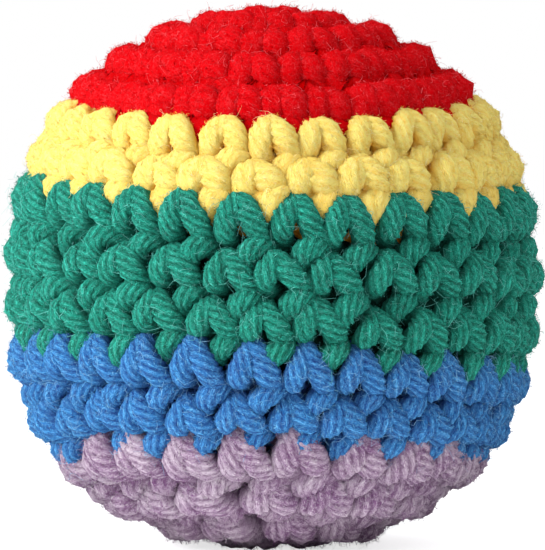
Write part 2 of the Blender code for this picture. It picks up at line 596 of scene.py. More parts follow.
@dataclass(frozen=True)
class WoolEffects:
    """The effects that every yarn's materials share.

    Attributes:
        fibres: Single fibres.
        bundles: Fibres that lie together.
        bundled: How much the painted highlights of single fibres fade outside the bundles.
        groove_highlight: How clearly the painted highlights show at the bottom of a groove between
            plies.
        bridged: How much of a groove the bundles bridge.
        groove_crease: How far a groove takes the painted crease shade.
        sunk_crease: How far yarn at the back takes it.
        turned: Between which values of flank a side comes to take it.
        holes: Between which values of sunk the yarn comes to lie deep in a hole.
        hole_depth: How far it takes the painted hole shade there.
        fibre_height: How high a single fibre stands, where a bundle is about 1.
        bundle_height: How high a bundle stands.
        groove_height: How deep a groove is.
        curl_height: How high a curled hair stands.
        roughness: How dull the yarn is.
        gloss: How much less dull its fibres are.
        curls: How many curls the large and the small lying hairs have to a metre.
        curl_wander: How far those hairs wander.
        curl_line: Where the line of such a hair starts to fade, and where it ends.
        patch_edge: Between which values of its noise a patch of dye begins and is full.
        patch_detail: How many finer noises are laid over it.
        patch_roughness: How much those count.
    """

    fibres: Grain = Grain(scale=5600.0, stretch=0.62, wander=2.2, start=0.44, full=0.64)
    bundles: Grain = Grain(scale=2300.0, stretch=0.85, wander=2.4, start=0.40, full=0.62)
    bundled: float = 0.65
    groove_highlight: float = 0.3
    bridged: float = 0.85
    groove_crease: float = 0.85
    sunk_crease: float = 0.95
    turned: tuple[float, float] = (0.25, 0.95)
    holes: tuple[float, float] = (0.72, 1.0)
    hole_depth: float = 0.85
    fibre_height: float = 0.5
    bundle_height: float = 0.7
    groove_height: float = 0.8
    curl_height: float = 0.4
    roughness: float = 0.95
    gloss: float = 0.2
    curls: tuple[float, float] = (1300.0, 2300.0)
    curl_wander: float = 1.2
    curl_line: tuple[float, float] = (0.008, 0.030)
    patch_edge: tuple[float, float] = (0.35, 0.65)
    patch_detail: float = 4.0
    patch_roughness: float = 0.7

    def group(self, centre: float) -> bpy.types.NodeTree:
        """Builds the node group that gives yarn its fibres.

        Args:
            centre: The height of the bag's centre, which the softened normals point away from.

        Returns:
            A group with the painted highlights of single fibres, the painted shade in the creases
            between plies and stitches, the height of both, the roughness, the lying hairs, the
            patches of dye, the painted shade deep in the holes and the softened normal.
        """
        tree = bpy.data.node_groups.new("yarn_fibres", "ShaderNodeTree")
        for name in ("Contrast", "Flanks", "Patches", "Softness"):
            tree.interface.new_socket(name, in_out="INPUT", socket_type="NodeSocketFloat")
        graph = Graph(tree)
        given = graph.add("NodeGroupInput", {}).outputs
        where = graph.add("ShaderNodeTexCoord", {}).outputs["Object"]
        sunk = graph.own("sunk")
        inputs: Inputs = {
            "Vector": where,
            "Scale": given["Patches"],
            "Detail": self.patch_detail,
            "Roughness": self.patch_roughness,
        }
        cloudy = graph.out("ShaderNodeTexNoise", inputs)
        large, small = (self._curl_lines(graph, where, scale) for scale in self.curls)
        made = {
            **self._fibres(graph, given, sunk),
            "Curl": graph.math("MAXIMUM", large, small),
            "Mottle": graph.ranged(cloudy, *self.patch_edge, 0.0, 1.0),
            # Painted shade deep in the holes.
            "Depth": graph.ranged(sunk, *self.holes, 0.0, self.hole_depth),
        }
        raised = graph.times(made["Curl"], self.curl_height)
        made["Height"] = graph.plus(made["Height"], raised)
        for name in made:
            tree.interface.new_socket(name, in_out="OUTPUT", socket_type="NodeSocketFloat")
        made["Normal"] = self._soft_normal(graph, given["Softness"], where, centre)
        tree.interface.new_socket("Normal", in_out="OUTPUT", socket_type="NodeSocketVector")
        graph.add("NodeGroupOutput", dict(enumerate(made.values())))
        return tree

    def _fibres(self, graph: Graph, given: Outputs, sunk: Socket) -> dict[str, Socket]:
        """Lays the fibres along the plies, as painted highlights and relief, and paints shade into
        the grooves between them.

        Args:
            graph: Where the nodes go.
            given: The group's inputs.
            sunk: How deep in the wall the yarn lies.

        Returns:
            The painted highlights, the painted crease shade, the height and the roughness.
        """
        place = graph.own("yarn_space", "Vector")
        groove = graph.own("groove")
        hairs = self.fibres.shown(graph, place)
        strands = self.bundles.shown(graph, place)
        clear = graph.plus(1 - self.bundled, graph.times(strands, self.bundled))
        raised = graph.plus(self.groove_highlight, graph.minus(1.0, groove))
        bare = graph.minus(1.0, graph.times(strands, self.bridged))
        # Painted shade: the grooves between plies, yarn at the back and sides turned away from
        # straight out of the bag.
        gaps = graph.times(groove, bare, self.groove_crease, given["Contrast"])
        turned = graph.ranged(graph.own("flank"), *self.turned, 0.0, 1.0)
        crease = graph.math("MAXIMUM", gaps, graph.times(sunk, self.sunk_crease))
        crease = graph.math("MAXIMUM", crease, graph.times(turned, given["Flanks"]))
        height = graph.plus(
            graph.times(hairs, self.fibre_height), graph.times(strands, self.bundle_height)
        )
        return {
            # Painted highlights along the fibres, fainter in the grooves between plies.
            "Streak": graph.times(hairs, clear, given["Contrast"], raised),
            "CreaseShade": crease,
            "Height": graph.minus(height, graph.times(gaps, self.groove_height)),
            "Roughness": graph.minus(self.roughness, graph.times(hairs, self.gloss)),
        }

    def _curl_lines(self, graph: Graph, where: Socket, scale: float) -> Socket:
        """Draws thin wandering lines, as curled hairs make where they lie on the yarn.

        Args:
            graph: Where the nodes go.
            where: The place in space.
            scale: Curls to a metre.

        Returns:
            1 on a line and 0 beside it.
        """
        inputs: Inputs = {
            "Vector": where,
            "Scale": scale,
            "Detail": 1.0,
            "Distortion": self.curl_wander,
        }
        noise = graph.out("ShaderNodeTexNoise", inputs)
        off = graph.math("ABSOLUTE", graph.minus(noise, 0.5))
        return graph.ranged(off, *self.curl_line, 1.0, 0.0)

    def _soft_normal(self, graph: Graph, softness: Socket, where: Socket, centre: float) -> Socket:
        """Turns the surface's normal towards straight out of the bag.

        Args:
            graph: Where the nodes go.
            softness: How far.
            where: The place in space.
            centre: The height of the bag's centre.

        Returns:
            The softened normal.
        """
        out = graph.away(where, (0.0, 0.0, centre))
        normal = graph.add("ShaderNodeNewGeometry", {}).outputs["Normal"]
        own = graph.vector("SCALE", normal, scale=graph.minus(1.0, softness))
        soft = graph.vector("ADD", own, graph.vector("SCALE", out, scale=softness))
        return graph.vector("NORMALIZE", soft)


@dataclass
class BagForm:
    """The bag's outer form, which every round lies on.

    Attributes:
        diameter: Across the stitches at the widest round.
        crown_height: From the widest round up to the crown's top.
        base_depth: From the widest round down to the floor.
        press: What the bag's weight presses flat.
        wall_middle: How deep the middle of the wall lies below the stitches' tops.
        crown_bulge: How square the crown's shoulders are, where 2 is an ellipse.
        base_bulge: The same for the base.
        front_draw: How far the rounds are drawn together in front.
        draw_latitude: Where that starts to fade towards the poles.
        dip_latitudes: The latitudes in degrees at which the dip is known.
        dips: How far the rounds dip towards +X there, in degrees.
    """

    diameter: float = 0.0550
    crown_height: float = 0.0279
    base_depth: float = 0.0272
    press: float = 0.0002
    wall_middle: float = 0.0028
    crown_bulge: float = 2.2
    base_bulge: float = 2.4
    front_draw: float = 0.19
    draw_latitude: float = radians(43)
    dip_latitudes: tuple[float, ...] = (-90, -43, -19, 21, 42, 90)
    dips: tuple[float, ...] = (0, 0.5, 3.3, 1.7, -0.5, 0)

    def reach(self, latitude: np.ndarray) -> np.ndarray:
        """Measures the bag from its centre.

        Args:
            latitude: Up from the widest round.

        Returns:
            The distance to the bag's outside.
        """
        upper = latitude >= 0
        rise = np.where(upper, self.crown_height, self.base_depth + self.press)
        bulge = np.where(upper, self.crown_bulge, self.base_bulge)
        across = np.abs(np.cos(latitude) / (self.diameter / 2)) ** bulge
        along = np.abs(np.sin(latitude) / rise) ** bulge
        return (across + along) ** (-1 / bulge)

    def drawn(self, latitude: np.ndarray, azimuth: np.ndarray) -> np.ndarray:
        """Draws the rounds together in front, and dips them towards +X.

        Args:
            latitude: In the rounds' own even spacing.
            azimuth: Anticlockwise from +X, seen from above.

        Returns:
            The real latitude there.
        """
        frontness = ((1 - np.sin(azimuth)) / 2) ** 2
        fade = np.minimum(1, (pi / 2 - np.abs(latitude)) / (pi / 2 - self.draw_latitude))
        dip = np.interp(latitude, np.radians(self.dip_latitudes), np.radians(self.dips))
        return latitude * (1 - self.front_draw * frontness * fade) - dip * np.cos(azimuth)

    def points(
        self, latitude: np.ndarray, azimuth: np.ndarray, height: np.ndarray
    ) -> np.ndarray:
        """Places points on the wall.

        Args:
            latitude: In the rounds' own even spacing.
            azimuth: Anticlockwise from +X, seen from above.
            height: Outwards from the wall's middle.

        Returns:
            One row of x, y and z for each point.
        """
        real = self.drawn(latitude, azimuth)
        return self.at(real, azimuth, self.reach(real) - self.wall_middle + height)

    def at(self, latitude: np.ndarray, azimuth: np.ndarray, distance: np.ndarray) -> np.ndarray:
        """Places points in a direction from the bag's centre.

        Args:
            latitude: Up from the widest round.
            azimuth: Anticlockwise from +X, seen from above.
            distance: From the centre.

        Returns:
            One row of x, y and z for each point.
        """
        across = distance * np.cos(latitude)
        up = self.base_depth + distance * np.sin(latitude)
        return np.stack([across * np.cos(azimuth), across * np.sin(azimuth), up], axis=1)


@dataclass
class Rounds:
    """The rounds of the bag from the crown's pole to the base's, as the pattern gives them.

    Attributes:
        starts: The latitude at which each yarn starts, in degrees, and where the last ends.
        counts: The stitches of each round of each yarn.
        lean: How far the stitches lean for each round down, in stitches.
        start: How far round from +X the first round starts.
        stitches: The stitches of each round.
        latitudes: The latitude at which each round starts, and where the last ends.
        twists: How far round each round starts.
    """

    starts: tuple[float, ...] = (90, 42, 21, -19, -43, -90)
    counts: tuple[tuple[int, ...], ...] = (
        (6, 12, 18, 24, 30),
        (30, 30),
        (30, 30, 30),
        (30, 30),
        (24, 18, 12, 6),
    )
    lean: float = 0.27
    start: float = pi
    stitches: list[int] = field(init=False)
    latitudes: list[float] = field(init=False)
    twists: list[float] = field(init=False)

    def __post_init__(self) -> None:
        """Spreads each yarn's rounds evenly between its edges."""
        self.stitches = [count for yarn in self.counts for count in yarn]
        self.latitudes = []
        for yarn, start, end in zip(self.counts, self.starts, self.starts[1:]):
            steps = np.linspace(radians(start), radians(end), len(yarn) + 1)
            self.latitudes += list(steps[:-1])
        self.latitudes.append(radians(self.starts[-1]))
        self.twists = [self.start]
        for count in self.stitches:
            self.twists.append(self.twists[-1] + self.lean * tau / count)

    def latitude(self, rounds_down: np.ndarray) -> np.ndarray:
        """The latitude this many rounds down from the crown's pole."""
        return np.interp(rounds_down, np.arange(len(self.latitudes)), self.latitudes)

    def of_yarn(self, yarn: int) -> range:
        """The numbers of the rounds that one yarn makes."""
        first = sum(len(counts) for counts in self.counts[:yarn])
        return range(first, first + len(self.counts[yarn]))

    def changes_colour(self, index: int) -> bool:
        """Whether a round is worked into a round of another yarn."""
        return index in [self.of_yarn(yarn)[0] for yarn in range(1, len(self.counts))]


@dataclass
class SingleCrochet:
    """The route of the yarn through one stitch.

    Each row of the route is a share of the stitch's width across, a share of the round down,
    a height out from the wall's middle in yarn thicknesses, and how far the yarn swells there.

    Attributes:
        thickness: Of the yarn.
        spacing: Between the points of the yarn's middle, where it shows.
        back: The height under which the yarn is at the back, where they may lie further apart.
        back_weight: How much a length there counts against one in front.
        jitter: How unlike the others each stitch is, across.
        jitter_down: The same along the round's depth, as a share of jitter.
        jitter_out: The same in height.
        jitter_swell: The same in thickness.
        reach_up: How far a yarn's first round reaches up over the round of another colour.
        lift: How far the yarn comes forward where it fills out behind the stitches.
        foot_shift: How far a stitch's foot shifts towards the stitch that it is worked into.
        ridge_place: How far down a round its ridge is.
        front: The height from which the yarn lies wholly in front.
        hidden_from: The height under which it starts to be hidden behind the stitches.
        hidden_over: How much lower it is wholly hidden.
        own_end: How far down the yarn is no longer in its own round, in rounds.
        own_fade: Over how much of a round before that this comes about.
        sunk_from: The height under which the yarn starts to count as sunk in the wall.
        sunk_over: How much lower it is wholly sunk.
        crown_end: How near the crown's pole the yarn comes, as a share of a round.
        base_end: How far down the last round it goes.
        clearance: How far the yarn's middle stays above the floor, in yarn thicknesses.
        route: The rows.
    """

    thickness: float = 0.0025
    spacing: float = 0.00055
    back: float = -0.2
    back_weight: float = 0.35
    jitter: float = 0.052
    jitter_down: float = 0.8
    jitter_out: float = 0.085
    jitter_swell: float = 0.03
    reach_up: float = 0.20
    lift: float = 0.5
    foot_shift: float = 0.20
    ridge_place: float = 0.38
    front: float = 0.4
    hidden_from: float = 0.2
    hidden_over: float = 0.6
    own_end: float = 1.1
    own_fade: float = 0.2
    sunk_from: float = 0.45
    sunk_over: float = 0.9
    crown_end: float = 0.10
    base_end: float = 0.86
    clearance: float = 0.42
    route: tuple[tuple[float, float, float, float], ...] = (
        # down the back to the hole under the round above
        (-0.20, 0.45, -0.85, 0.85),
        (-0.12, 0.14, -0.58, 0.80),
        # the left leg
        (-0.01, 0.03, 0.06, 0.90),
        (-0.04, 0.10, 0.50, 1.00),
        (-0.16, 0.30, 0.64, 1.05),
        (-0.23, 0.50, 0.42, 1.00),
        # behind the stitch, to its other side
        (-0.18, 0.62, -0.06, 0.84),
        (0.05, 0.84, -0.52, 0.80),
        # the right leg, in front
        (0.36, 0.80, -0.14, 0.86),
        (0.40, 0.62, 0.24, 0.96),
        (0.26, 0.36, 0.62, 1.05),
        (0.08, 0.11, 0.54, 1.00),
        (0.02, 0.03, 0.08, 0.88),
        # up the back
        (0.05, 0.12, -0.54, 0.80),
        (0.14, 0.50, -0.82, 0.85),
        (0.05, 1.00, -0.60, 0.80),
        # the front of the chain, which shows as a knob between two arches
        (0.10, 1.28, -0.15, 0.82),
        (0.12, 1.12, 0.32, 0.94),
        (0.18, 0.96, 0.58, 1.00),
        (0.32, 0.83, 0.62, 1.02),
        (0.46, 0.79, 0.34, 0.94),
        (0.56, 0.86, -0.12, 0.84),
        # through the next round's stitch and back behind it
        (0.72, 1.12, -0.36, 0.80),
        (0.95, 1.20, -0.42, 0.80),
        (1.02, 1.36, -0.60, 0.85),
        (0.56, 1.42, -0.60, 0.90),
    )

    def centre_line(
        self,
        form: BagForm,
        rounds: Rounds,
        index: int,
        finish: YarnFinish,
        rng: np.random.Generator,
    ) -> dict[str, np.ndarray]:
        """Lays the middle of the yarn all the way round one round.

        Args:
            form: The bag's form.
            rounds: The pattern.
            index: Which round.
            finish: The yarn, which may be plump or fill out behind the stitches.
            rng: Where the small irregularities come from.

        Returns:
            The points, with how far each lies below the stitches' tops and how it swells.
        """
        across, down, height, swell = self._smooth(self._worked(rounds, index, finish, rng)).T
        if index == 0:
            down = np.maximum(down, self.crown_end)
        if index == len(rounds.stitches) - 1:
            down = np.minimum(down, self.base_end)
        azimuth = across * tau / rounds.stitches[index] - rounds.twists[index]
        points = form.points(rounds.latitude(index + down), azimuth, height * self.thickness)
        points[:, 2] = np.maximum(points[:, 2], self.thickness * self.clearance)
        return self._even(points, height, swell)

    def _worked(
        self, rounds: Rounds, index: int, finish: YarnFinish, rng: np.random.Generator
    ) -> np.ndarray:
        """Works every stitch of one round, each a little unlike the others.

        Args:
            rounds: The pattern.
            index: Which round.
            finish: The yarn.
            rng: Where the small irregularities come from.

        Returns:
            The rows of all its stitches' routes, one after another.
        """
        first = rounds.changes_colour(index)
        slim = finish.slim if first else 0.0
        fullness, plump = finish.fullness - slim, finish.plump - slim
        across, down, height, swell = np.array(self.route).T
        reach = self.reach_up * np.clip(1 - down * 2, 0, 1) if first else 0.0
        seen = np.clip(height / self.front, 0, 1)
        lower = finish.ridge * (1 - np.cos(tau * (down - self.ridge_place))) * seen
        own = np.clip((self.own_end - down) / self.own_fade, 0, 1)
        hidden = np.clip((self.hidden_from - height) / self.hidden_over, 0, 1) * own
        foot = 1 - np.clip(down, 0, 1)
        stitches = []
        for stitch in range(rounds.stitches[index]):
            top, bottom = rng.normal(0, self.jitter, (2, 3))
            drift = top[:, None] * foot + bottom[:, None] * (1 - foot)
            beside = stitch + 0.5 + across + drift[0] + self._pull(rounds, index, stitch) * foot
            below = down + drift[1] * self.jitter_down - reach
            out = height + drift[2] / self.jitter * self.jitter_out - lower
            out = out + fullness * self.lift * hidden - (plump - 1) / 2
            thick = swell * plump * (1 + rng.normal(0, self.jitter_swell)) + fullness * hidden
            stitches.append(np.stack([beside, below, out, thick], axis=1))
        return np.concatenate(stitches)

    def _pull(self, rounds: Rounds, index: int, stitch: int) -> float:
        """Finds how far a stitch's foot shifts to meet the stitch that it is worked into.

        Args:
            rounds: The pattern.
            index: Which round.
            stitch: Which stitch of it.

        Returns:
            The shift in stitches, which is none where both rounds have as many.
        """
        own, above = rounds.stitches[index], rounds.stitches[max(index - 1, 0)]
        if own == above:
            return 0.0
        even = (stitch + 0.5) * above / own
        parent = np.floor(even) + 0.5
        return float(self.foot_shift * (parent - even) * own / above)

    def _smooth(self, table: np.ndarray, steps: int = 8) -> np.ndarray:
        """Lays a smooth curve through the rows of a table.

        Args:
            table: The rows.
            steps: The curve's points from one row to the next.

        Returns:
            The curve's rows.
        """
        ends = np.concatenate([table[:1], table, table[-1:]])
        share = np.linspace(0, 1, steps, endpoint=False)[:, None]
        pieces = []
        for a, b, c, d in zip(ends, ends[1:], ends[2:], ends[3:]):
            curve = 2 * b + (c - a) * share
            curve = curve + (2 * a - 5 * b + 4 * c - d) * share**2
            pieces.append((curve + (3 * b - a - 3 * c + d) * share**3) / 2)
        return np.concatenate(pieces)

    def _even(
        self, points: np.ndarray, height: np.ndarray, swell: np.ndarray
    ) -> dict[str, np.ndarray]:
        """Spaces the points evenly, and further apart where they lie at the back.

        Args:
            points: The yarn's middle.
            height: How far out each point lies, in yarn thicknesses.
            swell: How far the yarn swells there.

        Returns:
            The new points, how deep each is sunk from 0 to 1, and their swell.
        """
        lengths = np.linalg.norm(np.diff(points, axis=0), axis=1)
        weight = np.where(height[1:] < self.back, self.back_weight, 1.0)
        along = np.concatenate([[0], np.cumsum(lengths * weight)])
        wanted = np.linspace(0, along[-1], int(along[-1] / self.spacing))
        level = np.interp(wanted, along, height)
        return {
            "points": np.stack([np.interp(wanted, along, row) for row in points.T], axis=1),
            "sunk": np.clip((self.sunk_from - level) / self.sunk_over, 0, 1),
            "swell": np.interp(wanted, along, swell),
        }


@dataclass
class PliedYarn:
    """Yarn of several plies, laid along a route.

    Attributes:
        plies: How many strands show round it.
        turn_length: Along the yarn, while a ply goes round it once.
        ply: Which way they go.
        points_per_ply: Of the yarn's cross-section.
        unevenness: How far the spun wool swells and thins.
        uneven_scale: How often it does, to a metre.
    """

    plies: int = 8
    turn_length: float = 0.0062
    ply: Ply = Ply.S
    points_per_ply: int = 2
    unevenness: float = 0.0009
    uneven_scale: float = 1100.0

    def pattern(self) -> Pattern:
        """Builds the tree that lays a plied yarn along a line of edges.

        Returns:
            The tree.
        """
        made = Pattern(
            "plied_yarn",
            thickness=float,
            plies=int,
            ply_depth=float,
            turn_length=float,
            centre_height=float,
            material=bpy.types.Material,
        )
        graph, given = made.graph, made.given
        curve = graph.out("GeometryNodeMeshToCurve", {"Mesh": given["Geometry"]})
        along = graph.add("GeometryNodeSplineParameter", {}).outputs["Length"]
        curve = graph.store(curve, "along", along)
        turns = graph.math("DIVIDE", graph.attribute("along"), given["turn_length"])
        inputs: Inputs = {"Curve": curve, "Tilt": graph.times(turns, tau)}
        curve = graph.out("GeometryNodeSetCurveTilt", inputs)
        inputs = {
            "Curve": curve,
            "Profile Curve": self._profile(graph, given),
            "Scale": graph.attribute("swell"),
            "Fill Caps": True,
        }
        mesh = self._roughened(graph, graph.out("GeometryNodeCurveToMesh", inputs))
        made.end(self._marked(graph, given, mesh))
        return made

    def _profile(self, graph: Graph, given: Outputs) -> Socket:
        """Draws the yarn's cross-section.

        Args:
            graph: Where the nodes go.
            given: The tree's inputs.

        Returns:
            A ring of rounded plies.
        """
        points = graph.times(given["plies"], self.points_per_ply)
        radius = graph.math("DIVIDE", given["thickness"], 2.0)
        inputs: Inputs = {"Resolution": points, "Radius": radius}
        ring = graph.out("GeometryNodeCurvePrimitiveCircle", inputs, mode="RADIUS")
        number = graph.out("GeometryNodeInputIndex", {})
        turn = graph.math("DIVIDE", number, points)
        wave = graph.math("COSINE", graph.times(number, pi / self.points_per_ply))
        ring = graph.store(ring, "around", graph.times(turn, tau))
        ring = graph.store(ring, "groove", graph.times(wave, wave))
        sunk = graph.times(graph.attribute("groove"), given["ply_depth"])
        place = graph.out("GeometryNodeInputPosition", {})
        shrunk = graph.vector("SCALE", place, scale=graph.minus(1.0, sunk))
        return graph.moved(ring, Position=shrunk)

    def _roughened(self, graph: Graph, mesh: Socket) -> Socket:
        """Makes the plies a little uneven, as spun wool is.

        Args:
            graph: Where the nodes go.
            mesh: The yarn.

        Returns:
            The uneven yarn.
        """
        inputs: Inputs = {"Scale": self.uneven_scale, "Detail": 2.0}
        noise = graph.out("ShaderNodeTexNoise", inputs)
        swell = graph.times(graph.minus(noise, 0.5), self.unevenness)
        normal = graph.out("GeometryNodeInputNormal", {})
        return graph.moved(mesh, Offset=graph.vector("SCALE", normal, scale=swell))

    def _marked(self, graph: Graph, given: Outputs, mesh: Socket) -> Socket:
        """Keeps what the materials and the fuzz follow on the yarn's points.

        That is the direction in which the plies run, how far the surface is turned away from
        straight out of the bag, and the place in the untwisted yarn.

        Args:
            graph: Where the nodes go.
            given: The tree's inputs.
            mesh: The yarn.

        Returns:
            The yarn with the three.
        """
        place = graph.out("GeometryNodeInputPosition", {})
        ring = graph.times(given["plies"], self.points_per_ply)
        further = graph.plus(graph.out("GeometryNodeInputIndex", {}), ring)
        inputs: Inputs = {"Value": place, "Index": further}
        settings = {"data_type": "FLOAT_VECTOR", "domain": "POINT"}
        following = graph.out("GeometryNodeFieldAtIndex", inputs, **settings)
        mesh = graph.store(mesh, "combed", graph.away(following, place), "FLOAT_VECTOR")
        centre = graph.out("ShaderNodeCombineXYZ", {2: given["centre_height"]})
        normal = graph.out("GeometryNodeInputNormal", {})
        facing = graph.vector("DOT_PRODUCT", normal, graph.away(place, centre))
        mesh = graph.store(mesh, "flank", graph.minus(1.0, facing))
        around = graph.attribute("around")
        radius = graph.math("DIVIDE", given["thickness"], 2.0)
        inputs = {
            0: graph.times(graph.math("COSINE", around), radius),
            1: graph.times(graph.math("SINE", around), radius),
            2: graph.attribute("along"),
        }
        untwisted = graph.out("ShaderNodeCombineXYZ", inputs)
        return graph.store(mesh, "yarn_space", untwisted, "FLOAT_VECTOR")


@dataclass
class Fuzz:
    """The yarn's loose fibres, which lie along the plies, and the curled hairs that stray.

    Attributes:
        slimness: A fibre's radius at its thick end, as a share of its length.
        flatness: How thick a fibre is against its width.
        shortest: The shortest fibre or hair, as a share of the longest.
        thickness: Of one stray hair.
        taper: How much of that it has lost at its tip.
        stray_points: Along a stray hair.
        tangle: How far stray hairs turn away from the plies.
        curl: How strongly a stray hair bends.
        curl_scale: Bends to a metre.
        widest_flank: The flank at which the last fuzz grows.
        flank_gain: How quickly there is more of it as the yarn turns outwards.
        bare_rise: How far yarn comes out of the wall before any grows on it.
        rise_gain: How quickly there is more of it as the yarn comes out.
        seed: Of all that is random.
    """

    slimness: float = 0.062
    flatness: float = 0.30
    shortest: float = 0.45
    thickness: float = 0.00004
    taper: float = 0.6
    stray_points: int = 5
    tangle: float = 1.6
    curl: float = 5.2
    curl_scale: float = 1500.0
    widest_flank: float = 1.1
    flank_gain: float = 1.6
    bare_rise: float = 0.25
    rise_gain: float = 1.8
    seed: int = 7

    def pattern(self) -> Pattern:
        """Builds the tree that raises fibres and hairs from the outer side of the yarn.

        Returns:
            The tree.
        """
        made = Pattern(
            "yarn_fuzz",
            fibres=float,
            fibre_length=float,
            tangle=float,
            fluff=float,
            strays=float,
            stray_length=float,
            thickness=float,
            seed=int,
            material=bpy.types.Material,
        )
        graph, given = made.graph, made.given
        cover = self._cover(graph)
        near = self._scattered(
            made,
            hair=self._fibre(graph),
            density=graph.times(given["fibres"], cover),
            length=given["fibre_length"],
            tangle=given["tangle"],
            tones=(0.0, Tone.HAIR.value),
        )
        stray = self._scattered(
            made,
            hair=self._hair(graph),
            density=graph.times(given["strays"], cover),
            length=given["stray_length"],
            tangle=self.tangle,
            tones=(Tone.HAIR.value, 1.0),
        )
        both = graph.add("GeometryNodeJoinGeometry", {})
        for hairs in (near, self._curled(graph, given, stray)):
            graph.tree.links.new(hairs, both.inputs[0])
        made.end(both.outputs[0])
        return made

    def _cover(self, graph: Graph) -> Socket:
        """Finds how much of the fuzz grows: all of it outside, and none deep in the wall.

        Args:
            graph: Where the nodes go.

        Returns:
            The share at each point.
        """
        facing = graph.minus(self.widest_flank, graph.attribute("flank"))
        risen = graph.times(graph.minus(1.0, graph.attribute("sunk")), self.rise_gain)
        facing = graph.clamped(graph.times(facing, self.flank_gain))
        return graph.times(facing, graph.clamped(graph.minus(risen, self.bare_rise)))

    def _fibre(self, graph: Graph) -> Socket:
        """Makes a short straight fibre, a metre long before it is scaled.

        Args:
            graph: Where the nodes go.

        Returns:
            Its mesh, with its middle at zero.
        """
        inputs: Inputs = {
            "Vertices": 3,
            "Radius Top": 0.0,
            "Radius Bottom": self.slimness,
            "Depth": 1.0,
        }
        inputs = {
            "Geometry": graph.out("GeometryNodeMeshCone", inputs),
            "Translation": (0.0, 0.0, -0.5),
            "Rotation": (0.0, 0.0, pi / 2),
            "Scale": (self.flatness, 1.0, 1.0),
        }
        return graph.out("GeometryNodeTransform", inputs)

    def _hair(self, graph: Graph) -> Socket:
        """A stray hair as a straight line, a metre long before it is scaled."""
        line = graph.out("GeometryNodeCurvePrimitiveLine", {"End": (0.0, 0.0, 1.0)})
        return graph.out("GeometryNodeResampleCurve", {"Curve": line, "Count": self.stray_points})

    def _scattered(
        self,
        made: Pattern,
        hair: Socket,
        density: Socket,
        length: Socket,
        tangle: Value,
        tones: tuple[float, float],
    ) -> Socket:
        """Scatters one sort of hair over the yarn.

        Args:
            made: The tree.
            hair: One hair, along Z.
            density: Hairs to a square metre.
            length: The longest of them.
            tangle: How far they stray from the plies' direction.
            tones: From the darkest of them to the lightest.

        Returns:
            Their geometry.
        """
        graph, given, seed = made.graph, made.given, made.given["seed"]
        inputs: Inputs = {"Mesh": given["Geometry"], "Density": density, "Seed": seed}
        roots = graph.add("GeometryNodeDistributePointsOnFaces", inputs).outputs
        points = graph.store(roots["Points"], "tone", graph.random(*tones, seed))
        height = graph.random(0.0, given["fluff"], graph.plus(seed, 2.0))
        off = graph.vector("SCALE", roots["Normal"], scale=height)
        inputs = {"Min": (-1.0, -1.0, -1.0), "Max": (1.0, 1.0, 1.0), "Seed": seed}
        lean = graph.out("FunctionNodeRandomValue", inputs, data_type="FLOAT_VECTOR")
        lean = graph.vector("SCALE", lean, scale=tangle)
        lean = graph.vector("ADD", graph.attribute("combed", "FLOAT_VECTOR"), lean)
        turned = graph.out("FunctionNodeAlignRotationToVector", {"Vector": lean}, axis="Z")
        inputs = {"Rotation": turned, "Vector": roots["Normal"]}
        settings = {"axis": "Y", "pivot_axis": "Z"}
        turned = graph.out("FunctionNodeAlignRotationToVector", inputs, **settings)
        share = graph.random(self.shortest, 1.0, graph.plus(seed, 1.0))
        inputs = {
            "Points": graph.moved(points, Offset=off),
            "Instance": hair,
            "Rotation": turned,
            "Scale": graph.times(share, length),
        }
        hairs = graph.out("GeometryNodeInstanceOnPoints", inputs)
        return graph.out("GeometryNodeRealizeInstances", {"Geometry": hairs})

    def _curled(self, graph: Graph, given: Outputs, hairs: Socket) -> Socket:
        """Curls the stray hairs and gives them their thickness.

        Args:
            graph: Where the nodes go.
            given: The tree's inputs.
            hairs: The hairs as straight lines.

        Returns:
            The curled hairs.
        """
        share = graph.out("GeometryNodeSplineParameter", {})
        place = graph.out("GeometryNodeInputPosition", {})
        inputs: Inputs = {"Vector": place, "Scale": self.curl_scale, "Detail": 1.0}
        noise = graph.add("ShaderNodeTexNoise", inputs).outputs["Color"]
        stray = graph.vector("SUBTRACT", noise, (0.5, 0.5, 0.5))
        bend = graph.times(share, graph.times(given["stray_length"], self.curl))
        bent = graph.moved(hairs, Offset=graph.vector("SCALE", stray, scale=bend))
        radius = graph.math("DIVIDE", given["thickness"], 2.0)
        inputs = {"Resolution": 3, "Radius": radius}
        ring = graph.out("GeometryNodeCurvePrimitiveCircle", inputs, mode="RADIUS")
        inputs = {
            "Curve": bent,
            "Profile Curve": ring,
            "Scale": graph.minus(1.0, graph.times(share, self.taper)),
            "Fill Caps": True,
        }
        return graph.out("GeometryNodeCurveToMesh", inputs)


